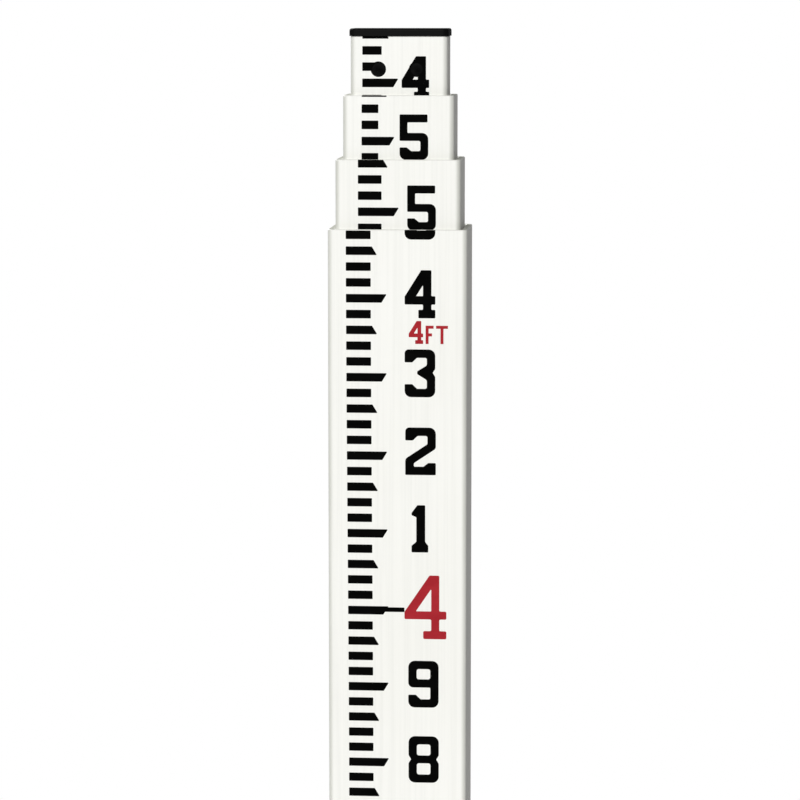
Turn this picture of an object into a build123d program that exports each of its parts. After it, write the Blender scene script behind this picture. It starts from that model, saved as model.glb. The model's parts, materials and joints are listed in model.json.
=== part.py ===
from build123d import *
import os
from math import cos, hypot, pi, sin

# Telescoping levelling staff: four rectangular tubes that slide out of each other and lock.
# Millimetres. +Z runs up the staff, and z = 0 is the underside of the foot and the zero of the scale.
# The graduated front faces -Y and the lock buttons face +Y. The staff is modelled closed.

# Tubes, from the outside in
SECTIONS = ("outer", "second", "third", "fourth")
OUTER_WIDTH = 54.0
OUTER_DEPTH = 36.0
OUTER_LENGTH = 1358.2
SECOND_LENGTH = 1359.6
THIRD_LENGTH = 1358.8
FOURTH_LENGTH = 1356.1
CORNER_RADIUS = 2.0
INNER_CORNER_RADIUS = 0.8
WALL = 2.35
SLIDE_GAP = 0.4
RIM_CHAMFER = 0.3

# Distance from the rim of a tube down to the hole that locks the next section out
OUTER_LOCK_DROP = 106.5
SECOND_LOCK_DROP = 131.9
THIRD_LOCK_DROP = 156.8

# Bottom plugs, which stack on each other when the staff is closed
PLUG_BODY = 20.2
PLUG_FLANGE = 3.0
PLUG_FIT = 0.1
PLUG_EDGE = 0.5
GLIDE_CLEARANCE = 0.2
BUMPER_THICKNESS = 2.0
BUMPER_INSET = 2.0
STOP_GAP = 0.2

# Foot: shoe, steel plate and its screws
SHOE_FLANGE = 6.5
SHOE_LIP = 1.0
SHOE_ROUND = 1.2
PLATE_THICKNESS = 2.5
PLATE_RECESS = 1.0
PLATE_INSET = 3.0
PLATE_CORNER = 3.0
PLATE_FIT = 0.2
PLATE_EDGE = 0.4
SCREW_X = 15.0
SCREW_RADIUS = 2.0
SCREW_HEAD_RADIUS = 3.8
SCREW_LENGTH = 12.0
SCREW_SINK = 0.1
HEX_RADIUS = 1.45
HEX_DEPTH = 1.6

# Rivets: domed ones through the shoe and the cap, flush ones through the plugs
FASTENER_FIT = 0.05
DOME_RADIUS = 3.0
DOME_HEIGHT = 1.3
RIVET_RADIUS = 1.6
TAIL_RADIUS = 2.4
TAIL_LENGTH = 1.0
SHOE_RIVET_X = 16.0
SHOE_RIVET_REACH = 7.0
FLUSH_HEAD_RADIUS = 2.5
FLUSH_RADIUS = 1.5
FLUSH_REACH = 5.0
FLUSH_SINK = 0.05

# Top cap
CAP_FLANGE = 2.9
CAP_LIP = 0.5
CAP_PLUG = 22.0
CAP_WALL = 2.2
CAP_ROUND = 0.8
CAP_RIVET_DROP = 12.7
CAP_RIVET_PITCH = 14.8
CAP_RIVET_OFFSET = -0.5

# Lock buttons: a button springs into a hole when its section is out, and into a shallow detent when it is in
BUTTON_RADIUS = 5.0
BUTTON_FIT = 0.2
BUTTON_EDGE = 0.4
BUTTON_CLEAR = 0.3
BUTTON_FLANGE_LIP = 1.5
BUTTON_FLANGE = 1.6
BUTTON_STOP_GAP = 0.1
BUTTON_STUB_RADIUS = 3.2
BUTTON_STUB = 2.0
THUMB_RELIEF = 0.7
DETENT_FLOOR = 0.8
DETENT_CLEARANCE = 0.25
POCKET_FIT = 0.3
POCKET_FLOOR = 1.6

# Coil springs behind the buttons
SPRING_WIRE = 0.8
SPRING_RADIUS = 4.3
SPRING_PITCH = 1.5
SPRING_SEAT_GAP = 0.02

# Sizes of the nested tubes
nest_step = WALL + SLIDE_GAP
widths = [OUTER_WIDTH - 2 * nest_step * k for k in range(len(SECTIONS))]
depths = [OUTER_DEPTH - 2 * nest_step * k for k in range(len(SECTIONS))]
inner_widths = [width - 2 * WALL for width in widths]
inner_depths = [depth - 2 * WALL for depth in depths]
lengths = (OUTER_LENGTH, SECOND_LENGTH, THIRD_LENGTH, FOURTH_LENGTH)

# Heights with the staff closed
shoe_bottom = PLATE_THICKNESS - PLATE_RECESS
outer_bottom = shoe_bottom + SHOE_FLANGE
stack_step = PLUG_BODY + BUMPER_THICKNESS + STOP_GAP + PLUG_FLANGE
bottoms = [outer_bottom + stack_step * k for k in range(len(SECTIONS))]
tops = [bottom + length for bottom, length in zip(bottoms, lengths)]
plug_middles = [bottom + PLUG_BODY / 2 for bottom in bottoms]
cap_rivet_height = tops[3] - CAP_RIVET_DROP

# Lock holes, and the travel of each section that they give
lock_drops = (OUTER_LOCK_DROP, SECOND_LOCK_DROP, THIRD_LOCK_DROP)
lock_heights = [top - drop for top, drop in zip(tops, lock_drops)]
travels = [lock - button for lock, button in zip(lock_heights, plug_middles[1:])]

# Button and pocket sizes; the innermost plug is the shallowest and sets the pocket for all three
button_entry = WALL - DETENT_FLOOR - DETENT_CLEARANCE
button_travel = BUTTON_CLEAR + button_entry
button_proud = SLIDE_GAP - BUTTON_CLEAR
button_hole_radius = BUTTON_RADIUS + BUTTON_FIT
button_flange_radius = BUTTON_RADIUS + BUTTON_FLANGE_LIP
button_head = button_proud + WALL + button_travel + BUTTON_STOP_GAP
pocket_radius = button_flange_radius + POCKET_FIT
pocket_reach = inner_depths[3] - PLUG_FIT - POCKET_FLOOR
spring_length = pocket_reach - button_travel - BUTTON_STOP_GAP - BUTTON_FLANGE
spring_rise = spring_length - SPRING_WIRE - 2 * SPRING_SEAT_GAP
spring_half_turns = int(2 * spring_rise / SPRING_PITCH)
spring_pitch = 2 * spring_rise / spring_half_turns

OUTWARD_FRONT = (0, -1, 0)
OUTWARD_BACK = (0, 1, 0)
DOWN = (0, 0, -1)


def save(piece, name):
    piece.label = name
    export_step(piece, f"parts/{name}.step")


def front_plane(k, x, z):
    """Plane on the front face of tube k, facing out of the staff."""
    return Plane(origin=(x, -depths[k] / 2, z), x_dir=(1, 0, 0), z_dir=OUTWARD_FRONT)


def back_plane(y, z):
    """Plane square to the back of the staff at depth y, facing out."""
    return Plane(origin=(0, y, z), x_dir=(1, 0, 0), z_dir=OUTWARD_BACK)


def plug_rivet_xs(k):
    """Flush rivets stand midway between the button's pocket and the side of the plug."""
    middle = (pocket_radius + inner_widths[k] / 2) / 2
    return (-middle, middle)


def make_tube(k):
    """Section tube k with its rims, rivet holes, button hole, detent and lock hole."""
    with BuildPart() as tube:
        with BuildSketch(Plane.XY.offset(bottoms[k])):
            RectangleRounded(widths[k], depths[k], CORNER_RADIUS)
            RectangleRounded(inner_widths[k], inner_depths[k], INNER_CORNER_RADIUS, mode=Mode.SUBTRACT)
        extrude(amount=lengths[k])
        rims = tube.edges().group_by(Axis.Z)
        chamfer(rims[0] + rims[-1], length=RIM_CHAMFER)
        back = depths[k] / 2

        # rivets that hold the foot or the plug
        if k == 0:
            for side in (-1, 1):
                seat = Plane(origin=(0, side * back, plug_middles[0]), x_dir=(1, 0, 0), z_dir=(0, side, 0))
                with Locations(seat):
                    with GridLocations(2 * SHOE_RIVET_X, 0, 2, 1):
                        Hole(RIVET_RADIUS + FASTENER_FIT, depth=2 * WALL)
        else:
            for x in plug_rivet_xs(k):
                with Locations(front_plane(k, x, plug_middles[k])):
                    CounterSinkHole(
                        FLUSH_RADIUS + FASTENER_FIT,
                        FLUSH_HEAD_RADIUS + FASTENER_FIT,
                        depth=2 * WALL,
                        counter_sink_angle=90,
                    )
            with Locations(back_plane(back, plug_middles[k])):
                Hole(button_hole_radius, depth=2 * WALL)

        # what the next section's button springs into: the detent when closed, the hole when out
        if k < 3:
            detent_depth = WALL - DETENT_FLOOR
            with Locations(back_plane(back - WALL, plug_middles[k + 1])):
                Cone(
                    BUTTON_RADIUS + detent_depth,
                    BUTTON_RADIUS,
                    detent_depth,
                    align=(Align.CENTER, Align.CENTER, Align.MIN),
                    mode=Mode.SUBTRACT,
                )
            with Locations(back_plane(back, lock_heights[k])):
                CounterSinkHole(
                    button_hole_radius,
                    button_hole_radius + THUMB_RELIEF,
                    depth=2 * WALL,
                    counter_sink_angle=90,
                )
        else:
            with Locations(front_plane(k, CAP_RIVET_OFFSET, cap_rivet_height)):
                with GridLocations(CAP_RIVET_PITCH, 0, 2, 1):
                    Hole(RIVET_RADIUS + FASTENER_FIT, depth=2 * WALL)
    save(tube.part, f"{SECTIONS[k]}_tube")


def make_base_shoe():
    """Foot of the outer tube: a flange under its end and a plug inside it."""
    plate_width = OUTER_WIDTH + 2 * SHOE_LIP - 2 * PLATE_INSET
    plate_depth = OUTER_DEPTH + 2 * SHOE_LIP - 2 * PLATE_INSET
    with BuildPart() as shoe:
        with BuildSketch(Plane.XY.offset(shoe_bottom)):
            RectangleRounded(
                OUTER_WIDTH + 2 * SHOE_LIP, OUTER_DEPTH + 2 * SHOE_LIP, CORNER_RADIUS + SHOE_LIP
            )
        extrude(amount=SHOE_FLANGE)
        fillet(shoe.edges().group_by(Axis.Z)[0], radius=SHOE_ROUND)
        chamfer(shoe.edges().group_by(Axis.Z)[-1], length=PLUG_EDGE)
        with BuildSketch(Plane.XY.offset(outer_bottom)):
            RectangleRounded(
                inner_widths[0] - 2 * PLUG_FIT, inner_depths[0] - 2 * PLUG_FIT, INNER_CORNER_RADIUS
            )
        extrude(amount=PLUG_BODY)
        chamfer(shoe.edges().group_by(Axis.Z)[-1], length=PLUG_EDGE)
        with BuildSketch(Plane.XY.offset(shoe_bottom)):
            RectangleRounded(plate_width + 2 * PLATE_FIT, plate_depth + 2 * PLATE_FIT, PLATE_CORNER + PLATE_FIT)
        extrude(amount=PLATE_RECESS, mode=Mode.SUBTRACT)
        with Locations(Plane(origin=(0, 0, PLATE_THICKNESS), z_dir=DOWN)):
            with GridLocations(2 * SCREW_X, 0, 2, 1):
                Hole(SCREW_RADIUS + FASTENER_FIT, depth=SCREW_LENGTH)
        for side in (-1, 1):
            face = side * (inner_depths[0] / 2 - PLUG_FIT)
            seat = Plane(origin=(0, face, plug_middles[0]), x_dir=(1, 0, 0), z_dir=(0, side, 0))
            with Locations(seat):
                with GridLocations(2 * SHOE_RIVET_X, 0, 2, 1):
                    Hole(RIVET_RADIUS + FASTENER_FIT, depth=SHOE_RIVET_REACH)
    save(shoe.part, "base_shoe")

    with BuildPart() as plate:
        with BuildSketch():
            RectangleRounded(plate_width, plate_depth, PLATE_CORNER)
        extrude(amount=PLATE_THICKNESS)
        chamfer(plate.edges().group_by(Axis.Z)[0], length=PLATE_EDGE)
        with Locations(Plane(origin=(0, 0, 0), z_dir=DOWN)):
            with GridLocations(2 * SCREW_X, 0, 2, 1):
                CounterSinkHole(
                    SCREW_RADIUS + FASTENER_FIT,
                    SCREW_HEAD_RADIUS + SCREW_SINK + FASTENER_FIT,
                    depth=2 * PLATE_THICKNESS,
                    counter_sink_angle=90,
                )
    save(plate.part, "shoe_wear_plate")


def make_wear_plate_screws():
    """Countersunk socket screws, heads just below the plate's underside."""
    head_cone = SCREW_HEAD_RADIUS - SCREW_RADIUS
    with BuildPart() as screws:
        for x in (-SCREW_X, SCREW_X):
            with BuildSketch(Plane(origin=(x, 0, SCREW_SINK), x_dir=(1, 0, 0), z_dir=OUTWARD_FRONT)):
                Polygon(
                    (0, 0),
                    (SCREW_HEAD_RADIUS, 0),
                    (SCREW_RADIUS, head_cone),
                    (SCREW_RADIUS, SCREW_LENGTH),
                    (0, SCREW_LENGTH),
                    align=None,
                )
            revolve(axis=Axis((x, 0, 0), (0, 0, 1)))
        with BuildSketch(Plane.XY.offset(SCREW_SINK)):
            with GridLocations(2 * SCREW_X, 0, 2, 1):
                RegularPolygon(HEX_RADIUS, 6)
        extrude(amount=HEX_DEPTH, mode=Mode.SUBTRACT)
    save(screws.part, "wear_plate_screws")


def domed_profile(seat, shank, tail):
    """Half section of a domed rivet on a plane whose y axis points into the staff, with a flared tail."""
    end = shank + tail
    crown = (0, -DOME_HEIGHT)
    rim = (DOME_RADIUS, 0)
    with BuildSketch(seat) as profile:
        with BuildLine():
            RadiusArc(crown, rim, (DOME_RADIUS**2 + DOME_HEIGHT**2) / (2 * DOME_HEIGHT))
            Polyline(rim, (RIVET_RADIUS, 0), (RIVET_RADIUS, shank))
            if tail:
                Polyline((RIVET_RADIUS, shank), (TAIL_RADIUS, shank), (TAIL_RADIUS, end), (0, end))
            else:
                Line((RIVET_RADIUS, shank), (0, end))
            Line((0, end), crown)
        make_face()
    return profile.sketch


def make_shoe_rivets():
    """Two rivets through the front of the outer tube into the shoe, and two through the back."""
    with BuildPart() as rivets:
        for x in (-SHOE_RIVET_X, SHOE_RIVET_X):
            seat = Plane(origin=(x, -OUTER_DEPTH / 2, plug_middles[0]))
            revolve(
                domed_profile(seat, WALL + SHOE_RIVET_REACH - PLUG_EDGE, 0), axis=Axis(seat.origin, seat.y_dir)
            )
        mirror(about=Plane.XZ)
    save(rivets.part, "shoe_rivets")


def make_cap_rivets():
    """Blind rivets through the front of the fourth tube and the cap's wall, set inside the cap."""
    shank = WALL + PLUG_FIT + CAP_WALL + FASTENER_FIT
    with BuildPart() as rivets:
        for side in (-1, 1):
            x = CAP_RIVET_OFFSET + side * CAP_RIVET_PITCH / 2
            seat = Plane(origin=(x, -depths[3] / 2, cap_rivet_height))
            revolve(domed_profile(seat, shank, TAIL_LENGTH), axis=Axis(seat.origin, seat.y_dir))
    save(rivets.part, "cap_rivets")


def make_plug(k):
    """Bottom plug of section k: glide flange below the tube, body inside it, pocket for the button."""
    glide = SLIDE_GAP - GLIDE_CLEARANCE
    back = inner_depths[k] / 2
    with BuildPart() as plug:
        with BuildSketch(Plane.XY.offset(bottoms[k] - PLUG_FLANGE)):
            RectangleRounded(widths[k] + 2 * glide, depths[k] + 2 * glide, CORNER_RADIUS)
        extrude(amount=PLUG_FLANGE)
        flange_edges = plug.edges().group_by(Axis.Z)
        chamfer(flange_edges[0] + flange_edges[-1], length=PLUG_EDGE)
        with BuildSketch(Plane.XY.offset(bottoms[k])):
            RectangleRounded(
                inner_widths[k] - 2 * PLUG_FIT, inner_depths[k] - 2 * PLUG_FIT, INNER_CORNER_RADIUS
            )
        extrude(amount=PLUG_BODY)
        chamfer(plug.edges().group_by(Axis.Z)[-1], length=PLUG_EDGE)
        with Locations(back_plane(back, plug_middles[k])):
            Hole(pocket_radius, depth=pocket_reach)
        for x in plug_rivet_xs(k):
            with Locations(front_plane(k, x, plug_middles[k])):
                Hole(FLUSH_RADIUS + FASTENER_FIT, depth=WALL + FLUSH_REACH + PLUG_EDGE)
    save(plug.part, f"{SECTIONS[k]}_plug")


def make_plug_rivets(k):
    """Countersunk rivets, flush with the front of tube k so that it slides."""
    with BuildPart() as rivets:
        for x in plug_rivet_xs(k):
            seat = Plane(origin=(x, FLUSH_SINK - depths[k] / 2, plug_middles[k]))
            with BuildSketch(seat):
                Polygon(
                    (0, 0),
                    (FLUSH_HEAD_RADIUS - FLUSH_SINK, 0),
                    (FLUSH_RADIUS, FLUSH_HEAD_RADIUS - FLUSH_SINK - FLUSH_RADIUS),
                    (FLUSH_RADIUS, WALL + FLUSH_REACH),
                    (0, WALL + FLUSH_REACH),
                    align=None,
                )
            revolve(axis=Axis(seat.origin, seat.y_dir))
    save(rivets.part, f"{SECTIONS[k]}_plug_rivets")


def make_bumper(k, name):
    """Rubber pad on top of the plug in tube k, which the next section lands on."""
    with BuildPart() as bumper:
        with BuildSketch(Plane.XY.offset(bottoms[k] + PLUG_BODY)):
            RectangleRounded(
                inner_widths[k] - 2 * BUMPER_INSET, inner_depths[k] - 2 * BUMPER_INSET, INNER_CORNER_RADIUS
            )
        extrude(amount=BUMPER_THICKNESS)
        fillet(bumper.edges().group_by(Axis.Z)[-1], radius=PLUG_EDGE)
    save(bumper.part, name)


def make_lock_button(k):
    """Button of section k, pressed in: its tip stands between tube k and the wall around it."""
    tip = depths[k] / 2 + button_proud
    with BuildPart() as button:
        with BuildSketch(back_plane(tip - button_head, plug_middles[k])):
            Circle(BUTTON_RADIUS)
        extrude(amount=button_head)
        chamfer(button.edges().group_by(Axis.Y)[-1], length=BUTTON_EDGE)
        with BuildSketch(back_plane(tip - button_head, plug_middles[k])):
            Circle(button_flange_radius)
        extrude(amount=-BUTTON_FLANGE)
        with BuildSketch(back_plane(tip - button_head - BUTTON_FLANGE, plug_middles[k])):
            Circle(BUTTON_STUB_RADIUS)
        extrude(amount=-BUTTON_STUB)
    save(button.part, f"{SECTIONS[k]}_lock_button")


def make_button_spring(k):
    """Coil spring along Y, from the pocket's floor to the button's flange, of quarter-turn arcs."""
    start_y = inner_depths[k] / 2 - pocket_reach + SPRING_SEAT_GAP + SPRING_WIRE / 2
    quarter_rise = spring_pitch / 4
    slope = spring_pitch / (2 * pi * SPRING_RADIUS)
    # every second point lies on this radius, so that each arc runs smoothly into the next
    lift = quarter_rise * slope
    between_radius = hypot(lift, SPRING_RADIUS, quarter_rise) - lift
    points = []
    for quarter in range(2 * spring_half_turns + 1):
        radius = between_radius if quarter % 2 else SPRING_RADIUS
        angle = quarter * pi / 2
        points.append(
            Vector(
                radius * cos(angle),
                start_y + quarter * quarter_rise,
                plug_middles[k] - radius * sin(angle),
            )
        )
    start_direction = Vector(0, slope, -1)
    with BuildPart() as spring:
        with BuildLine() as path:
            arc = TangentArc(points[0], points[1], tangent=start_direction)
            for point in points[2:]:
                arc = TangentArc(arc @ 1, point, tangent=arc % 1)
        with BuildSketch(Plane(origin=points[0], z_dir=start_direction)):
            Circle(SPRING_WIRE / 2)
        sweep()
    save(spring.part, f"{SECTIONS[k]}_button_spring")


def make_top_cap():
    """Black cap that closes the fourth tube: a lid on its rim and a hollow plug inside."""
    plug_width = inner_widths[3] - 2 * PLUG_FIT
    plug_depth = inner_depths[3] - 2 * PLUG_FIT
    with BuildPart() as cap:
        with BuildSketch(Plane.XY.offset(tops[3])):
            RectangleRounded(widths[3] + 2 * CAP_LIP, depths[3] + 2 * CAP_LIP, CORNER_RADIUS + CAP_LIP)
        extrude(amount=CAP_FLANGE)
        fillet(cap.edges().group_by(Axis.Z)[-1], radius=CAP_ROUND)
        with BuildSketch(Plane.XY.offset(tops[3] - CAP_PLUG)):
            RectangleRounded(plug_width, plug_depth, INNER_CORNER_RADIUS)
            RectangleRounded(
                plug_width - 2 * CAP_WALL,
                plug_depth - 2 * CAP_WALL,
                PLUG_EDGE,
                mode=Mode.SUBTRACT,
            )
        extrude(amount=CAP_PLUG)
        chamfer(cap.edges().group_by(Axis.Z)[0], length=RIM_CHAMFER)
        with Locations(front_plane(3, CAP_RIVET_OFFSET, cap_rivet_height)):
            with GridLocations(CAP_RIVET_PITCH, 0, 2, 1):
                Hole(RIVET_RADIUS + FASTENER_FIT, depth=WALL + PLUG_FIT + 2 * CAP_WALL)
    save(cap.part, "top_cap")


os.makedirs("parts", exist_ok=True)
for section in range(len(SECTIONS)):
    make_tube(section)
make_base_shoe()
make_wear_plate_screws()
make_shoe_rivets()
make_bumper(0, "base_bumper")
for section in (1, 2, 3):
    make_plug(section)
    make_plug_rivets(section)
    make_lock_button(section)
    make_button_spring(section)
for section in (1, 2):
    make_bumper(section, f"{SECTIONS[section]}_bumper")
make_top_cap()
make_cap_rivets()

print("tube tops", [round(top, 2) for top in tops])
print("travels", [round(travel, 2) for travel in travels])
print("button travel", round(button_travel, 3))
print("spring turns", spring_half_turns / 2, "least gap between turns", round(spring_pitch - SPRING_WIRE, 3))
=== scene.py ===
import json
import math
from typing import NamedTuple

import bmesh
import bpy
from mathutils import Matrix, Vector
from mathutils.geometry import delaunay_2d_cdt


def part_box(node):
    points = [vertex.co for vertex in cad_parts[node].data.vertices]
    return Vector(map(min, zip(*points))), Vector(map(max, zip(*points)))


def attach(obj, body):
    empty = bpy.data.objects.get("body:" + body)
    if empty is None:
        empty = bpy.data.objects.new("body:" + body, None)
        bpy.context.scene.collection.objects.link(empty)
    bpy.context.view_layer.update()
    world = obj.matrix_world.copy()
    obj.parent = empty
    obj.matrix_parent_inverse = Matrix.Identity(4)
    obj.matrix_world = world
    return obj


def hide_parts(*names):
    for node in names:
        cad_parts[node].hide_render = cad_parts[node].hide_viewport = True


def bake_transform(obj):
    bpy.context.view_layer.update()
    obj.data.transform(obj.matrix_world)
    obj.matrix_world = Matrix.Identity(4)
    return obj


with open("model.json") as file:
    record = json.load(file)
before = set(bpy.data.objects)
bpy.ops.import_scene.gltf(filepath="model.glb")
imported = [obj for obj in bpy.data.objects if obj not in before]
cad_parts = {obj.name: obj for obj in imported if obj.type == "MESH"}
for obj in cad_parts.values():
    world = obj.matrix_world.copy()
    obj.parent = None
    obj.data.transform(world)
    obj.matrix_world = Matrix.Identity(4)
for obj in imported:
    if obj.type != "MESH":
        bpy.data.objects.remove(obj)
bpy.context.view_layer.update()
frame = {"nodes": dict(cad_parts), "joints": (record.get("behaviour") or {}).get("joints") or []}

# Levelling staff: looks for the CAD pieces, and the printed scale as thin raised ink.
# Sizes are in millimetres unless a comment says otherwise, and MM turns them into metres.
MM = 0.001
FOOT = 304.8
HUNDREDTH = FOOT / 100

# Ink film, and the bevelled rim at the top of a tube that it runs over
INK_PROUD = 0.06
INK_SUNK = 0.03
INK_SPREAD = 0.12
INK_ROUND = 0.25
RIM_CHAMFER = 0.3

# The printing frame wandered sideways along the staff; each section says how its bars creep up and down
WANDER = 0.48
WANDER_LENGTH = 490.0
WANDER_START = 1250.0

# Bars are a hundredth of a foot tall; the longer ones end on a slant, and some are tied to a numeral
BAR_SLANT = 1.0
TIE_TOP = 0.25
TIE_TALL = 1.8

# How far the tenths stand off their marks, across and up: by figure, and all of them in odd feet
DIGIT_SHIFTS = {
    "1": (-0.4, 0.0), "3": (-0.1, 0.0), "4": (0.0, 0.26),
    "5": (0.0, 0.2), "8": (0.0, 0.28), "9": (0.0, -0.08),
}
NO_SHIFT = (0.0, 0.0)
ODD_FOOT_SHIFT = (0.7, -0.6)

# Red foot numerals; where there are two digits, their width and the gap are shares of a single one's
RED_DROP = 0.53
PAIR_WIDTH = 0.54
PAIR_GAP = 0.05

# The small red foot mark, LABEL_READING feet above each foot numeral
LABEL_READING = 0.3522
LABEL_TALL = 8.9
LABEL_DIGIT_WIDE = 5.6
LABEL_PAIR_WIDER = 1.3
LETTER_TALL = 7.1
LETTER_GAP = 0.95
F_WIDE = 3.1
T_WIDE = 4.6

# Outlines of the characters, in units of a grid on which every character is TALL high
TALL = 48.0
ONE_WIDTH = 17.0 / 31.0
RED_STROKE = 6.0
LABEL_STROKE = 7.8

# Radii of their corners, from the roundest to the sharpest, and what a counter's radius has on top
CORNER = 6.5
BOWL = 5.0
SHOULDER = 4.0
ELBOW = 3.0
WEDGE = 2.5
BEND = 2.0
LEAST_INNER = 1.8
NICK = 1.0
EYE_SQUARE = 0.5
EYE_POINT = 0.3
COUNTER_EASE = 0.4

# Hooks at the ends of strokes, and pinched waists; the lean and the pinch are shares of the width
HOOK = 13.0
HOOK_THIN = 0.8
HOOK_LEAN = 0.13
PINCH = 0.084

# Rounding, filling and cutting of flat shapes
ARC_STEP = math.radians(18.0)
CORNER_SHARE = 0.49
FILL_WITH_HOLES = 2
SAME_POINT = 1e-5
CUT_MERGE = 0.002

# Colours in pairs, for the low and the high end of the pattern that mixes them
WHITE = (1.0, 1.0, 1.0)
COAT = ((0.905, 0.902, 0.855), (0.93, 0.928, 0.888))
STRANDS = ((0.955, 0.957, 0.955), WHITE)
LAMINATE = ((0.52, 0.53, 0.45), (0.72, 0.73, 0.65))
PLASTIC = ((0.002, 0.002, 0.002), (0.0045, 0.0045, 0.0043))
RUBBER = ((0.016, 0.016, 0.017), (0.05, 0.049, 0.047))
PLATE_STEEL = ((0.42, 0.42, 0.43), (0.64, 0.64, 0.65))
SPRING_STEEL = ((0.34, 0.34, 0.35), (0.55, 0.55, 0.57))
ALUMINIUM = ((0.6, 0.6, 0.61), (0.8, 0.8, 0.81))
STAINS = ((0.86, 0.86, 0.86), WHITE)
BRASS = ((0.6, 0.42, 0.16), (0.83, 0.64, 0.3))
ENAMEL = ((0.002, 0.002, 0.002), (0.006, 0.006, 0.006))
BLACK_INK = ((0.0018, 0.0018, 0.0016), (0.0006, 0.0006, 0.0005))
RED_INK = ((0.42, 0.028, 0.036), (0.36, 0.02, 0.028))
PALE_FLOOR = ((0.88, 0.88, 0.875), (0.92, 0.92, 0.915))

# Darker coat for the tube corners: painted shade where the rounded corners turn from the light, partly
# gelcoat worn down to the fibres
CORNER_SHADE_COAT = (0.64, 0.65, 0.59, 1.0)

# The range that a noise seldom leaves
NOISE_LOW = 0.3
NOISE_HIGH = 0.7

# Sockets of a Mix node that is set to colours
MIX_FIRST = 6
MIX_SECOND = 7
MIX_RESULT = 2

# Camera, a little above and to the right of the part in view, in metres but for the lens and sensor
LENS = 145.08
SENSOR = 36.0
CAMERA_DISTANCE = 1.25
CAMERA_TILT = math.radians(7.10)
CAMERA_SIDE = math.radians(4.6)
CLIP_NEAR = 0.05
CLIP_FAR = 50.0
AIM = Vector((0.00115, -0.018, 1.30017))

# Light: an even surround, and two soft suns.
# A sun is (azimuth to the left of the front, elevation, strength, width), with its angles in degrees.
AMBIENT = 0.18
KEY_SUN = (6.0, 22.0, 2.42, 30.0)
BACK_SUN = (140.0, 30.0, 2.15, 40.0)

# Stage, in metres
FLOOR_RADIUS = 4.0
FLOOR_SIDES = 96
FLOOR_FADE = 2.4
FLOOR_CLEAR = FLOOR_RADIUS * 0.98
FLOOR_DROP = 0.0002


class Section(NamedTuple):
    """What is printed on the front of one tube, from the first to the last reading in feet.
    Places across are measured from the tube's middle line, and the stroke is in units of the outlines' grid.
    The creep of the bars is a wave, with its height, its length and where it starts."""

    name: str
    first: float
    last: float
    bar_left: float
    bar_short: float
    bar_mid: float
    bar_long: float
    digit_x: float
    digit_tall: float
    digit_wide: float
    digit_rise: float
    digit_stroke: float
    red_x: float
    red_tall: float
    red_wide: float
    label_x: float
    label_scale: float
    creep: float
    creep_length: float
    creep_start: float


SECTIONS = (
    Section(
        "outer", first=0.03, last=4.51,
        bar_left=-19.39, bar_short=9.63, bar_mid=11.08, bar_long=14.8,
        digit_x=9.33, digit_tall=18.6, digit_wide=11.88, digit_rise=0.0, digit_stroke=8.4,
        red_x=10.92, red_tall=25.2, red_wide=16.4,
        label_x=4.91, label_scale=1.0,
        creep=0.51, creep_length=400.0, creep_start=1232.0,
    ),
    Section(
        "second", first=4.41, last=8.57,
        bar_left=-14.89, bar_short=9.14, bar_mid=10.61, bar_long=14.87,
        digit_x=9.74, digit_tall=17.4, digit_wide=11.08, digit_rise=-0.34, digit_stroke=8.4,
        red_x=11.16, red_tall=23.6, red_wide=15.35,
        label_x=5.14, label_scale=0.94,
        creep=0.38, creep_length=100.0, creep_start=1352.5,
    ),
    Section(
        "third", first=8.51, last=12.57,
        bar_left=-13.72, bar_short=6.48, bar_mid=8.83, bar_long=11.77,
        digit_x=6.53, digit_tall=17.4, digit_wide=11.08, digit_rise=-0.16, digit_stroke=8.4,
        red_x=7.73, red_tall=23.6, red_wide=14.65,
        label_x=2.31, label_scale=0.94,
        creep=0.38, creep_length=100.0, creep_start=1374.9,
    ),
    Section(
        "fourth", first=12.51, last=16.47,
        bar_left=-13.74, bar_short=7.48, bar_mid=9.33, bar_long=13.0,
        digit_x=6.82, digit_tall=16.8, digit_wide=10.63, digit_rise=0.1, digit_stroke=9.1,
        red_x=7.71, red_tall=22.6, red_wide=13.85,
        label_x=1.09, label_scale=0.86,
        creep=0.38, creep_length=100.0, creep_start=1393.5,
    ),
)


def reading_offsets():
    """How far each section rises when they are all out, which is where the reading at its foot comes from."""
    travels = {joint["child"]: joint["range_m"][1] / MM for joint in frame["joints"]}
    offsets = {}
    risen = 0.0
    for section in SECTIONS:
        risen += travels.get(section.name + "_section", 0.0)
        offsets[section.name] = risen
    return offsets


READING_OFFSETS = reading_offsets()


# Outlines. Each character's function gives closed paths of (x, y, corner radius), the first one the outside.

def nicked(*points):
    """Points of sharp corners, which the print rounds off slightly."""
    return [(x, y, NICK) for x, y in points]


def inner_round(stroke):
    """Radius on the inside of a round corner."""
    return max(CORNER - stroke, LEAST_INNER)


def counter(wide, stroke, low, high):
    """The hole in a round numeral."""
    right = wide - stroke
    radius = inner_round(stroke) + COUNTER_EASE
    return [(x, y, radius) for x, y in ((stroke, high), (right, high), (right, low), (stroke, low))]


def upper_hook(wide, stroke):
    """The end of a top stroke that turns down at the left, from its outside to the stroke's underside."""
    end = TALL - HOOK
    return nicked((0, end), (stroke - HOOK_THIN, end)) + [(stroke + HOOK_LEAN * wide, TALL - stroke, BEND)]


def lower_hook(wide, stroke, top):
    """The end of a bottom stroke that turns up at the left, from the top of the stroke to its outside."""
    return [(stroke + HOOK_LEAN * wide, top, BEND)] + nicked((stroke - HOOK_THIN, HOOK), (0, HOOK))


def waist(side, inset, middle, half):
    """A pinch in one side, from the bottom up."""
    return [(side, middle - half, ELBOW), (side + inset, middle, NICK), (side, middle + half, ELBOW)]


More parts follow.
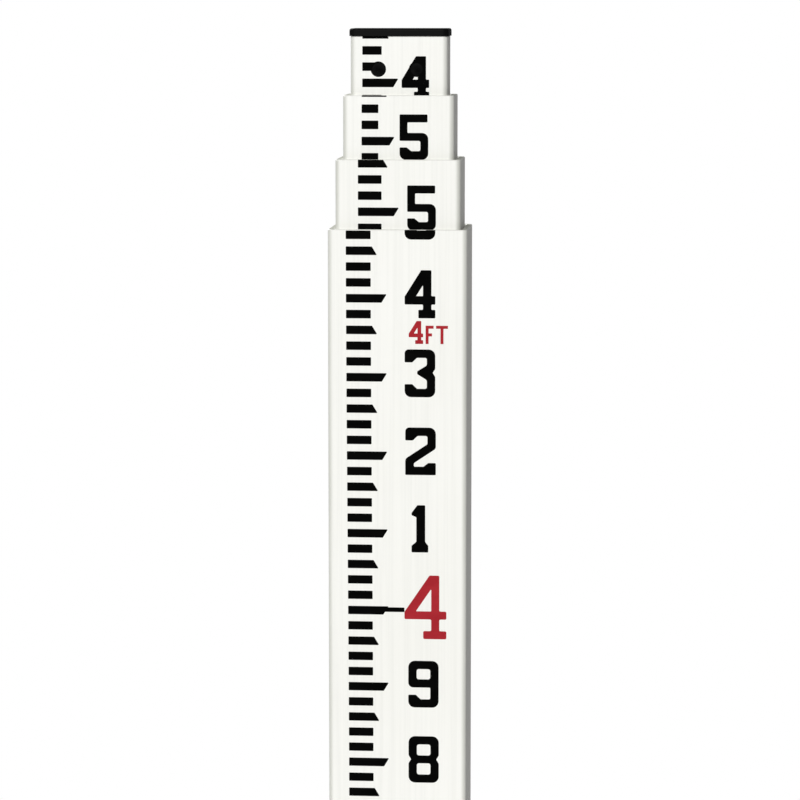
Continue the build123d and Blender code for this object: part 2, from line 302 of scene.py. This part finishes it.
def nought(wide, stroke):
    outer = [(0, 0, CORNER), (wide, 0, CORNER), (wide, TALL, CORNER), (0, TALL, CORNER)]
    return [outer, counter(wide, stroke, stroke, TALL - stroke)]


def one(wide, stroke):
    half = 0.53 * stroke
    left = 0.55 * wide - half
    right = left + 2 * half
    slab = 0.8 * stroke
    flare = slab + 4
    flag_left = left + 1
    flag_high = 40.2
    flag_low = 37.8
    flag_root = 35.8
    foot = nicked((0, 0), (wide, 0), (wide, slab)) + [(right, flare, BEND)]
    head = nicked((right, TALL), (flag_left, TALL), (0, flag_high), (0, flag_low), (left, flag_root))
    return [foot + head + [(left, flare, BEND), (0, slab, NICK)]]


def two(wide, stroke):
    base = 11.3
    rise = 20.5 / wide
    half = stroke / 2 * math.hypot(1, rise)
    left = stroke + 0.2
    right = wide - stroke
    serif_left = wide - (stroke - HOOK_THIN)
    serif_top = HOOK - HOOK_THIN
    foot = nicked((0, 0), (wide, 0), (wide, serif_top), (serif_left, serif_top))
    foot += [(right - HOOK_LEAN * wide, stroke, BEND), (left, stroke, NICK)]
    foot += [(left, base + rise * left - half, BEND), (wide, base + rise * wide - half, SHOULDER)]
    head = [(wide, TALL, CORNER), (0, TALL, SHOULDER)] + upper_hook(wide, stroke)
    head += [(right, TALL - stroke, inner_round(stroke)), (right, base + rise * right + half, BEND)]
    return [foot + head + [(0, base + half, SHOULDER)]]


def three(wide, stroke):
    middle = 24.6
    waist_half = 4.0
    right = wide - stroke
    wedge = 0.88 * stroke
    tip = 0.17 * stroke
    point = 0.41 * wide
    radius = inner_round(stroke)
    outside = [(0, 0, CORNER), (wide, 0, CORNER)] + waist(wide, -PINCH * wide, middle, waist_half)
    outside += [(wide, TALL, CORNER), (0, TALL, SHOULDER)]
    inside = upper_hook(wide, stroke) + [(right, TALL - stroke, radius), (right, middle + wedge, WEDGE)]
    inside += nicked((point, middle + tip), (point, middle - tip))
    inside += [(right, middle - wedge, WEDGE), (right, stroke, radius)] + lower_hook(wide, stroke, stroke)
    return [outside + inside]


def four(wide, stroke):
    level = 17.9
    middle = 0.735 * wide
    left = middle - stroke / 2
    right = middle + stroke / 2
    toe = 0.448 * wide
    low = level - stroke / 2
    high = level + stroke / 2
    apex = right - 1.22 * stroke
    shoulder = high - 0.5
    slope = (TALL - shoulder) / apex
    drop = 1.12 * stroke * math.hypot(1, slope)
    eye_top = shoulder + slope * left - drop
    eye_left = (high - shoulder + drop) / slope
    foot = nicked((toe, 0), (wide, 0), (wide, stroke), (right, stroke), (right, low))
    arm = nicked((wide, low), (wide, high), (right, high), (right, TALL), (apex, TALL))
    back = nicked((0, shoulder), (0, low), (left, low), (left, stroke), (toe, stroke))
    eye = [(left, eye_top, EYE_POINT), (left, high, EYE_SQUARE), (eye_left, high, EYE_POINT)]
    return [foot + arm + back, eye]


def five(wide, stroke):
    belly = 28.4
    base = 1.08 * stroke
    right = wide - stroke
    flag = wide - 0.8
    under = TALL - stroke
    radius = inner_round(stroke)
    outside = [(0, 0, CORNER), (wide, 0, CORNER), (wide, belly, CORNER)]
    outside += nicked((stroke, belly), (stroke, under), (flag, under), (flag, TALL), (0, TALL))
    inside = [(0, belly - stroke, NICK), (right, belly - stroke, radius), (right, base, radius)]
    return [outside + inside + lower_hook(wide, stroke, base)]


def six(wide, stroke):
    """A nine turned half round."""
    return [[(wide - x, TALL - y, radius) for x, y, radius in path] for path in nine(wide, stroke)]


def seven(wide, stroke):
    toe = 0.26 * wide
    slant = 1.1 * stroke
    neck = TALL - 1.6 * stroke
    leg = [(toe, 0, NICK), (toe + slant, 0, NICK), (wide, neck, ELBOW)]
    head = nicked((wide, TALL), (0, TALL)) + upper_hook(wide, stroke)
    return [leg + head + [(wide - slant, TALL - stroke, NICK)]]


def eight(wide, stroke):
    middle = 24.1
    half = 0.48 * stroke
    waist_half = 4.2
    pinch = PINCH * wide
    right = [(wide, 0, CORNER)] + waist(wide, -pinch, middle, waist_half) + [(wide, TALL, CORNER)]
    left = [(0, TALL, CORNER)] + waist(0, pinch, middle, waist_half)[::-1]
    upper = counter(wide, stroke, middle + half, TALL - stroke)
    lower = counter(wide, stroke, stroke, middle - half)
    return [[(0, 0, CORNER)] + right + left, upper, lower]


def nine(wide, stroke):
    low = 20.6
    right = wide - stroke
    outside = [(0, 0, CORNER), (wide, 0, CORNER), (wide, TALL, CORNER), (0, TALL, CORNER), (0, low, BOWL)]
    inside = [(right, low, NICK), (right, stroke, inner_round(stroke))] + lower_hook(wide, stroke, stroke)
    return [outside + inside, counter(wide, stroke, low + stroke, TALL - stroke)]


def letter_f(wide, stroke):
    bar_low = 20.0
    bar_high = bar_low + stroke
    bar_right = 0.8 * wide
    under = TALL - stroke
    stem = nicked((0, 0), (stroke, 0), (stroke, bar_low), (bar_right, bar_low), (bar_right, bar_high))
    return [stem + nicked((stroke, bar_high), (stroke, under), (wide, under), (wide, TALL), (0, TALL))]


def letter_t(wide, stroke):
    left = (wide - stroke) / 2
    right = left + stroke
    under = TALL - stroke
    stem = nicked((left, 0), (right, 0), (right, under), (wide, under))
    return [stem + nicked((wide, TALL), (0, TALL), (0, under), (left, under))]


GLYPHS = {
    "0": nought, "1": one, "2": two, "3": three, "4": four,
    "5": five, "6": six, "7": seven, "8": eight, "9": nine,
    "F": letter_f, "T": letter_t,
}


def rounded_corner(before, corner, after):
    """Points of the arc that rounds one corner of a path."""
    at = Vector(corner[:2])
    radius = corner[2]
    towards = Vector(before[:2]) - at
    away = Vector(after[:2]) - at
    reach = CORNER_SHARE * min(towards.length, away.length)
    towards.normalize()
    away.normalize()
    half = towards.angle(away) / 2
    cut = min(radius / math.tan(half), reach)
    radius = cut * math.tan(half)
    centre = at + (towards + away).normalized() * radius / math.sin(half)
    start = at + towards * cut - centre
    sweep = math.pi - 2 * half
    side = 1.0 if towards.x * away.y - towards.y * away.x < 0 else -1.0
    steps = max(2, math.ceil(sweep / ARC_STEP))
    first = math.atan2(start.y, start.x)
    angles = [first + side * sweep * i / steps for i in range(steps + 1)]
    return [(centre.x + radius * math.cos(a), centre.y + radius * math.sin(a)) for a in angles]


def rounded(path):
    """A path with all its corners rounded, as plain points."""
    points = []
    for i, corner in enumerate(path):
        points += rounded_corner(path[i - 1], corner, path[(i + 1) % len(path)])
    return points


# Flat shapes are (points, faces), with the faces turned to the front.

def flat_shape(paths):
    """A filled outline; the paths after the first are holes in it."""
    corners = []
    loops = []
    for path in paths:
        loops.append(range(len(corners), len(corners) + len(path)))
        corners += [Vector(point) for point in path]
    points, _, faces, *_ = delaunay_2d_cdt(corners, [], loops, FILL_WITH_HOLES, SAME_POINT)
    return [tuple(point) for point in points], [tuple(face) for face in faces]


def cut_across(shape, level, clear_above):
    """A flat shape with its faces cut along a level line, and what is above the line taken away or kept."""
    points, faces = shape
    mesh = bmesh.new()
    verts = [mesh.verts.new((x, y, 0)) for x, y in points]
    for face in faces:
        mesh.faces.new([verts[i] for i in face])
    everything = mesh.verts[:] + mesh.edges[:] + mesh.faces[:]
    bmesh.ops.bisect_plane(
        mesh, geom=everything, plane_co=(0, level, 0), plane_no=(0, 1, 0), clear_outer=clear_above,
    )
    bmesh.ops.remove_doubles(mesh, verts=mesh.verts[:], dist=CUT_MERGE)
    mesh.verts.index_update()
    kept = [(v.co.x, v.co.y) for v in mesh.verts]
    kept_faces = [tuple(v.index for v in face.verts) for face in mesh.faces]
    mesh.free()
    return kept, kept_faces


def glyph(char, wide, tall, stroke):
    """One character of that size in millimetres, its lower left corner at the origin."""
    scale = tall / TALL
    paths = [rounded(path) for path in GLYPHS[char](wide / scale, stroke)]
    return flat_shape([[(x * scale, y * scale) for x, y in path] for path in paths])


# The print

class Ink:
    """Gathers flat shapes on the front of a tube into one mesh of closed slabs."""

    def __init__(self, section, colour, face_y, top):
        self.name = section.name + "_" + colour
        self.body = section.name + "_section"
        self.front = face_y - INK_PROUD * MM
        self.back = face_y + INK_SUNK * MM
        self.top = top - INK_SUNK
        self.rim = top - RIM_CHAMFER
        self.verts = []
        self.faces = []

    def add(self, shape, x=0.0, z=0.0):
        """One flat shape, with its corner at x and z. Above the rim it leans back with the bevel."""
        highest = z + max(p[1] for p in shape[0])
        if highest > self.top:
            shape = cut_across(shape, self.top - z, True)
        if highest > self.rim:
            shape = cut_across(shape, self.rim - z, False)
        points, faces = shape
        if not faces:
            return
        start = len(self.verts)
        count = len(points)
        for y in (self.front, self.back):
            for px, pz in points:
                leaning = max(0.0, z + pz - self.rim)
                self.verts.append(((x + px) * MM, y + leaning * MM, (z + pz) * MM))
        edges = set()
        for face in faces:
            self.faces.append([start + i for i in face])
            self.faces.append([start + count + i for i in reversed(face)])
            edges.update(zip(face, face[1:] + face[:1]))
        for a, b in sorted(edges):
            if (b, a) not in edges:
                self.faces.append((start + b, start + a, start + count + a, start + count + b))

    def finish(self, material):
        """Makes the piece and puts it on its body."""
        mesh = bpy.data.meshes.new(self.name)
        mesh.from_pydata(self.verts, [], self.faces)
        mesh.materials.append(material)
        mesh.update()
        piece = bpy.data.objects.new(self.name, mesh)
        bpy.context.scene.collection.objects.link(piece)
        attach(piece, self.body)


def height(section, reading):
    """Where a reading in feet stands on a section of the closed staff."""
    return reading * FOOT - READING_OFFSETS[section.name]


def wander(z):
    """How far the print stands off its line at that height."""
    return -WANDER * math.sin(math.tau * (z - WANDER_START) / WANDER_LENGTH)


def creep(section, z):
    """How far a bar stands above its mark at that height."""
    return -section.creep * math.cos(math.tau * (z - section.creep_start) / section.creep_length)


def digit_width(digit, wide):
    """Width of a digit, where most are that wide."""
    return wide * (ONE_WIDTH if digit == "1" else 1.0)


def numeral_widths(text, wide):
    """Width of each digit of a numeral."""
    if len(text) > 1:
        wide *= PAIR_WIDTH
    return [digit_width(digit, wide) for digit in text]


def numeral_left(section, foot):
    """Left edge of a red foot numeral."""
    text = str(foot)
    total = sum(numeral_widths(text, section.red_wide)) + PAIR_GAP * section.red_tall * (len(text) - 1)
    return section.red_x + wander(height(section, foot)) - total / 2


def bar(left, right, slant, tie=None):
    """One bar standing on the origin; a positive slant puts the point of its right end at the top.
    A tie is where the thin line that leaves its right end stops."""
    low = -INK_SPREAD
    high = HUNDREDTH + INK_SPREAD
    end = [(right - slant, low), (right + slant, high)]
    if tie is not None:
        tie_high = HUNDREDTH - TIE_TOP
        tie_low = tie_high - TIE_TALL
        rise = 2 * slant / (high - low)
        leave = right - slant + rise * (tie_low - low)
        join = right - slant + rise * (tie_high - low)
        end[1:1] = [(leave, tie_low), (tie, tie_low), (tie, tie_high), (join, tie_high)]
    path = [(left, low)] + end + [(left, high)]
    return flat_shape([rounded([(x, y, INK_ROUND) for x, y in path])])


def tie_end(section, hundredth, right):
    """Where the line from a foot's last bar to the next foot's numeral stops, if there is room for one."""
    if hundredth % 100 != 99:
        return None
    left = numeral_left(section, (hundredth + 1) // 100)
    return left if left > right + BAR_SLANT else None


def add_bars(black, section):
    """The bars: a long one up to each tenth, a middling one from each half tenth, and short ones between."""
    for hundredth in range(round(section.first * 100), round(section.last * 100)):
        low = height(section, hundredth / 100)
        if hundredth % 2 == 0 or low > black.top:
            continue
        left = section.bar_left + wander(low)
        low += creep(section, low)
        if hundredth % 10 == 9:
            right = left + section.bar_long
            black.add(bar(left, right, BAR_SLANT, tie_end(section, hundredth, right)), z=low)
        elif hundredth % 10 == 5:
            black.add(bar(left, left + section.bar_mid, -BAR_SLANT), z=low)
        else:
            black.add(bar(left, left + section.bar_short, 0.0), z=low)


def add_digits(black, section):
    """The black tenths, each about its mark."""
    shapes = {}
    for tenth in range(math.ceil(section.first * 10), math.floor(section.last * 10) + 1):
        digit = str(tenth % 10)
        if digit == "0":
            continue
        wide = digit_width(digit, section.digit_wide)
        if digit not in shapes:
            shapes[digit] = glyph(digit, wide, section.digit_tall, section.digit_stroke)
        mark = height(section, tenth / 10) + section.digit_rise
        across, up = DIGIT_SHIFTS.get(digit, NO_SHIFT)
        if tenth // 10 % 2:
            across += ODD_FOOT_SHIFT[0]
            up += ODD_FOOT_SHIFT[1]
        x = section.digit_x + wander(mark) - wide / 2 + across
        z = mark + up - section.digit_tall / 2
        if z < black.top:
            black.add(shapes[digit], x, z)


def add_numeral(red, text, x, z, tall, wide, stroke):
    """A red numeral with its left edge at x and its foot at z. Returns its right edge."""
    for digit, digit_wide in zip(text, numeral_widths(text, wide)):
        red.add(glyph(digit, digit_wide, tall, stroke), x, z)
        x += digit_wide + PAIR_GAP * tall
    return x - PAIR_GAP * tall


def add_feet(red, section):
    """The red foot numerals."""
    tall = section.red_tall
    for foot in range(math.ceil(section.first), math.floor(section.last) + 1):
        low = height(section, foot) - RED_DROP - tall / 2
        add_numeral(red, str(foot), numeral_left(section, foot), low, tall, section.red_wide, RED_STROKE)


def add_labels(red, section):
    """The small foot marks."""
    scale = section.label_scale
    tall = LABEL_TALL * scale
    for foot in range(math.ceil(section.first), math.floor(section.last) + 1):
        z = height(section, foot + LABEL_READING) - tall / 2
        if z > red.top:
            continue
        text = str(foot)
        wide = LABEL_DIGIT_WIDE * scale * (1.0 if len(text) == 1 else LABEL_PAIR_WIDER)
        x = add_numeral(red, text, section.label_x + wander(z), z, tall, wide, LABEL_STROKE)
        for char, letter_wide in (("F", F_WIDE), ("T", T_WIDE)):
            x += LETTER_GAP * scale
            red.add(glyph(char, letter_wide * scale, LETTER_TALL * scale, LABEL_STROKE), x, z)
            x += letter_wide * scale


def print_scale(black_ink, red_ink):
    """A black and a red piece for each section."""
    for section in SECTIONS:
        low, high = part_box(section.name + "_tube")
        black = Ink(section, "black_scale", low.y, high.z / MM)
        red = Ink(section, "red_numerals", low.y, high.z / MM)
        add_bars(black, section)
        add_digits(black, section)
        add_feet(red, section)
        add_labels(red, section)
        black.finish(black_ink)
        red.finish(red_ink)


# Materials

class Shader:
    """A Principled material, with the few kinds of node that these materials need.
    Inputs are given by name, with underscores for spaces, as numbers, colours or other nodes' outputs."""

    def __init__(self, name):
        self.material = bpy.data.materials.new(name)
        self.material.use_nodes = True
        self.tree = self.material.node_tree
        self.bsdf = self.tree.nodes["Principled BSDF"]
        self.coords = self.tree.nodes.new("ShaderNodeTexCoord").outputs

    def feed(self, socket, value):
        if isinstance(value, bpy.types.NodeSocket):
            self.tree.links.new(value, socket)
        else:
            socket.default_value = value

    def feed_all(self, node, inputs):
        for name, value in inputs.items():
            self.feed(node.inputs[name.replace("_", " ")], value)

    def node(self, kind, **inputs):
        node = self.tree.nodes.new("ShaderNode" + kind)
        self.feed_all(node, inputs)
        return node

    def surface(self, **inputs):
        self.feed_all(self.bsdf, inputs)

    def noise(self, scale, stretch=(1, 1, 1), detail=3.0, roughness=0.55):
        place = self.node("Mapping", Vector=self.coords["Object"], Scale=stretch).outputs["Vector"]
        node = self.node("TexNoise", Vector=place, Scale=scale, Detail=detail, Roughness=roughness)
        return node.outputs["Fac"]

    def shade(self, value, colours, low=NOISE_LOW, high=NOISE_HIGH):
        """Goes from one colour to the other while a value goes from low to high."""
        node = self.node("ValToRGB", Fac=value)
        for stop, place, colour in zip(node.color_ramp.elements, (low, high), colours):
            stop.position = place
            stop.color = (*colour, 1.0)
        return node.outputs["Color"]

    def span(self, value, low, high, from_low=NOISE_LOW, from_high=NOISE_HIGH):
        """A value mapped to a range."""
        node = self.node(
            "MapRange", Value=value, From_Min=from_low, From_Max=from_high, To_Min=low, To_Max=high,
        )
        return node.outputs["Result"]

    def mix(self, amount, first, second, kind="MIX"):
        """Colour second laid over colour first."""
        node = self.node("Mix", Factor=amount)
        node.data_type = "RGBA"
        node.blend_type = kind
        self.feed(node.inputs[MIX_FIRST], first)
        self.feed(node.inputs[MIX_SECOND], second)
        return node.outputs[MIX_RESULT]

    def product(self, first, second):
        """Two values multiplied."""
        node = self.node("Math")
        node.operation = "MULTIPLY"
        self.feed(node.inputs[0], first)
        self.feed(node.inputs[1], second)
        return node.outputs["Value"]

    def facing(self, axis):
        """How much the surface faces along an axis, either way."""
        parts = self.node("SeparateXYZ", Vector=self.coords["Normal"])
        node = self.node("Math")
        node.operation = "ABSOLUTE"
        self.feed(node.inputs[0], parts.outputs[axis])
        return node.outputs["Value"]

    def bump(self, pattern, strength, depth):
        """A pattern felt on the surface, that many millimetres deep."""
        node = self.node("Bump", Height=pattern, Strength=strength, Distance=depth * MM)
        self.surface(Normal=node.outputs["Normal"])


def gelcoat():
    """White glass fibre: a faint mottle and lengthwise fibres, darkened in patches along the corners by
    painted shade that is partly coat rubbed thin, with bare laminate on the cut ends."""
    look = Shader("gelcoat_fibreglass")
    mottle = look.noise(22.0, stretch=(1, 1, 0.5), detail=4.0)
    fibres = look.noise(900.0, stretch=(1, 1, 0.012), detail=2.0)
    patches = look.noise(26.0, stretch=(1, 1, 0.35), detail=5.0)
    layers = look.noise(1600.0, detail=2.0)
    coat = look.mix(1.0, look.shade(mottle, COAT), look.shade(fibres, STRANDS, high=0.6), "MULTIPLY")
    # Painted shade on the rounded corners, laid in patches that also stand for rubbed gelcoat
    turning = look.product(look.facing("X"), look.facing("Y"))
    corner = look.span(turning, 0.0, 1.0, from_low=0.05, from_high=0.45)
    corner_shade_patches = look.product(corner, look.span(patches, 0.35, 1.0))
    coat = look.mix(corner_shade_patches, coat, CORNER_SHADE_COAT)
    cut = look.span(look.facing("Z"), 0.0, 1.0, from_low=0.75, from_high=0.95)
    look.surface(
        Base_Color=look.mix(cut, coat, look.shade(layers, LAMINATE)),
        Roughness=look.span(mottle, 0.34, 0.46),
        Specular_IOR_Level=0.4,
        Coat_Weight=0.15,
        Coat_Roughness=0.2,
    )
    look.bump(fibres, strength=0.25, depth=0.03)
    return look.material


def moulded_plastic():
    """Black plastic from a spark-eroded mould."""
    look = Shader("black_moulded_plastic")
    grain = look.noise(1500.0, detail=2.0, roughness=0.7)
    cloud = look.noise(60.0)
    look.surface(
        Base_Color=look.shade(cloud, PLASTIC),
        Roughness=look.span(cloud, 0.46, 0.62),
        Specular_IOR_Level=0.06,
    )
    look.bump(grain, strength=0.4, depth=0.06)
    return look.material


def rubber():
    """Black rubber, greyed by dust."""
    look = Shader("black_rubber")
    dust = look.noise(240.0, detail=5.0)
    look.surface(
        Base_Color=look.shade(dust, RUBBER, low=0.35, high=0.75),
        Roughness=look.span(dust, 0.72, 0.9),
        Specular_IOR_Level=0.3,
    )
    look.bump(dust, strength=0.3, depth=0.08)
    return look.material


def brushed_metal(name, colours, rough, stretch=(1, 1, 1)):
    """Bare metal with fine marks along one direction and a few cloudy stains."""
    look = Shader(name)
    marks = look.noise(1400.0, stretch, roughness=0.6)
    stains = look.noise(120.0, detail=4.0)
    worn = look.shade(stains, STAINS, low=0.35, high=0.6)
    look.surface(
        Base_Color=look.mix(1.0, look.shade(marks, colours), worn, "MULTIPLY"),
        Roughness=look.span(marks, *rough),
        Metallic=1.0,
    )
    look.bump(marks, strength=0.2, depth=0.02)
    return look.material


def turned_brass():
    """Brass with the rings that a lathe tool leaves round the button's axis."""
    look = Shader("turned_brass")
    middle = look.node("Mapping", Vector=look.coords["Generated"], Location=(-0.5, -0.5, -0.5))
    wave = look.node("TexWave", Vector=middle.outputs["Vector"], Scale=12.0, Distortion=0.6)
    wave.wave_type = "RINGS"
    wave.rings_direction = "Y"
    rings = wave.outputs["Fac"]
    tarnish = look.noise(260.0, detail=4.0)
    look.surface(
        Base_Color=look.shade(tarnish, BRASS, high=0.65),
        Roughness=look.span(rings, 0.22, 0.36, from_low=0.0, from_high=1.0),
        Metallic=1.0,
    )
    look.bump(rings, strength=0.3, depth=0.03)
    return look.material


def black_enamel():
    """Dull black paint on the cap's rivets."""
    look = Shader("black_enamel")
    chips = look.noise(420.0, detail=4.0)
    look.surface(
        Base_Color=look.shade(chips, ENAMEL),
        Roughness=look.span(chips, 0.5, 0.62),
        Specular_IOR_Level=0.03,
    )
    look.bump(chips, strength=0.15, depth=0.05)
    return look.material


def screen_ink(name, colours):
    """Screen ink, a little thinner in places, with the pull of the squeegee across it."""
    look = Shader(name)
    film = look.noise(180.0, stretch=(0.4, 1, 1), detail=5.0, roughness=0.6)
    pull = look.noise(2200.0, stretch=(0.1, 1, 1), detail=2.0)
    look.surface(
        Base_Color=look.shade(film, colours, high=0.6),
        Roughness=look.span(pull, 0.55, 0.7),
        Specular_IOR_Level=0.02,
    )
    look.bump(pull, strength=0.2, depth=0.02)
    return look.material


def paint_nodes():
    """Gives every CAD piece its material, by how its name ends."""
    plastic = moulded_plastic()
    steel = brushed_metal("brushed_steel", PLATE_STEEL, rough=(0.27, 0.44), stretch=(0.02, 1, 1))
    alloy = brushed_metal("rivet_aluminium", ALUMINIUM, rough=(0.31, 0.48))
    endings = {
        "_tube": gelcoat(),
        "_plug": plastic,
        "_shoe": plastic,
        "top_cap": plastic,
        "_bumper": rubber(),
        "wear_plate": steel,
        "plate_screws": steel,
        "_spring": brushed_metal("spring_steel", SPRING_STEEL, rough=(0.23, 0.4), stretch=(1, 0.1, 1)),
        "shoe_rivets": alloy,
        "plug_rivets": alloy,
        "cap_rivets": black_enamel(),
        "_button": turned_brass(),
    }
    for name, node in frame["nodes"].items():
        material = next(m for ending, m in endings.items() if name.endswith(ending))
        node.data.materials.clear()
        node.data.materials.append(material)


# Springs

def stretch_springs():
    """Coils in place of the CAD ones: copies of their meshes, fixed where they stand, with the CAD coils
    hidden.
    """
    for section in SECTIONS[1:]:
        button = section.name + "_button"
        node = button + "_spring"
        coil = bpy.data.objects.new(section.name + "_coil", frame["nodes"][node].data.copy())
        bpy.context.scene.collection.objects.link(coil)
        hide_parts(node)
        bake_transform(coil)


# Stage, light and camera

def make_floor():
    """A pale round floor that fades out to the white surround."""
    bpy.ops.mesh.primitive_circle_add(
        vertices=FLOOR_SIDES, radius=FLOOR_RADIUS, fill_type="NGON", location=(0, 0, -FLOOR_DROP),
    )
    floor = bpy.context.object
    floor.name = "floor"
    look = Shader("pale_floor")
    speckle = look.noise(9.0, detail=6.0)
    reach = look.node("VectorMath")
    reach.operation = "LENGTH"
    look.feed(reach.inputs[0], look.coords["Object"])
    look.surface(
        Base_Color=look.shade(speckle, PALE_FLOOR),
        Roughness=0.7,
        Specular_IOR_Level=0.2,
        Alpha=look.span(reach.outputs["Value"], 1.0, 0.0, from_low=FLOOR_FADE, from_high=FLOOR_CLEAR),
    )
    floor.data.materials.append(look.material)


def make_world():
    """White to look at, and a weaker even light."""
    world = bpy.data.worlds.new("studio")
    bpy.context.scene.world = world
    world.use_nodes = True
    nodes = world.node_tree.nodes
    links = world.node_tree.links
    seen = nodes["Background"]
    light = nodes.new("ShaderNodeBackground")
    light.inputs["Strength"].default_value = AMBIENT
    for background in (seen, light):
        background.inputs["Color"].default_value = (*WHITE, 1.0)
    path = nodes.new("ShaderNodeLightPath")
    mix = nodes.new("ShaderNodeMixShader")
    links.new(path.outputs["Is Camera Ray"], mix.inputs["Fac"])
    links.new(light.outputs["Background"], mix.inputs[1])
    links.new(seen.outputs["Background"], mix.inputs[2])
    links.new(mix.outputs["Shader"], nodes["World Output"].inputs["Surface"])


def make_sun(name, azimuth, elevation, strength, width):
    """A soft light from far off; azimuth 0 is straight in front and grows to the left."""
    lamp = bpy.data.lights.new(name, "SUN")
    lamp.energy = strength
    lamp.angle = math.radians(width)
    holder = bpy.data.objects.new(name, lamp)
    turn = math.radians(azimuth)
    climb = math.radians(elevation)
    level = math.cos(climb)
    towards = Vector((-math.sin(turn) * level, -math.cos(turn) * level, math.sin(climb)))
    holder.rotation_mode = "QUATERNION"
    holder.rotation_quaternion = towards.to_track_quat("Z", "Y")
    bpy.context.scene.collection.objects.link(holder)


def make_camera():
    """The photo's view."""
    data = bpy.data.cameras.new("camera")
    data.lens = LENS
    data.sensor_width = SENSOR
    data.clip_start = CLIP_NEAR
    data.clip_end = CLIP_FAR
    camera = bpy.data.objects.new("camera", data)
    level = math.cos(CAMERA_TILT)
    back = Vector((level * math.sin(CAMERA_SIDE), -level * math.cos(CAMERA_SIDE), math.sin(CAMERA_TILT)))
    camera.location = AIM + back * CAMERA_DISTANCE
    camera.rotation_mode = "QUATERNION"
    camera.rotation_quaternion = (-back).to_track_quat("-Z", "Y")
    bpy.context.scene.collection.objects.link(camera)
    bpy.context.scene.camera = camera


make_camera()
make_floor()
make_world()
make_sun("key", *KEY_SUN)
make_sun("back", *BACK_SUN)
bpy.context.scene.view_settings.view_transform = "Standard"
paint_nodes()
stretch_springs()
print_scale(screen_ink("scale_black_ink", BLACK_INK), screen_ink("scale_red_ink", RED_INK))
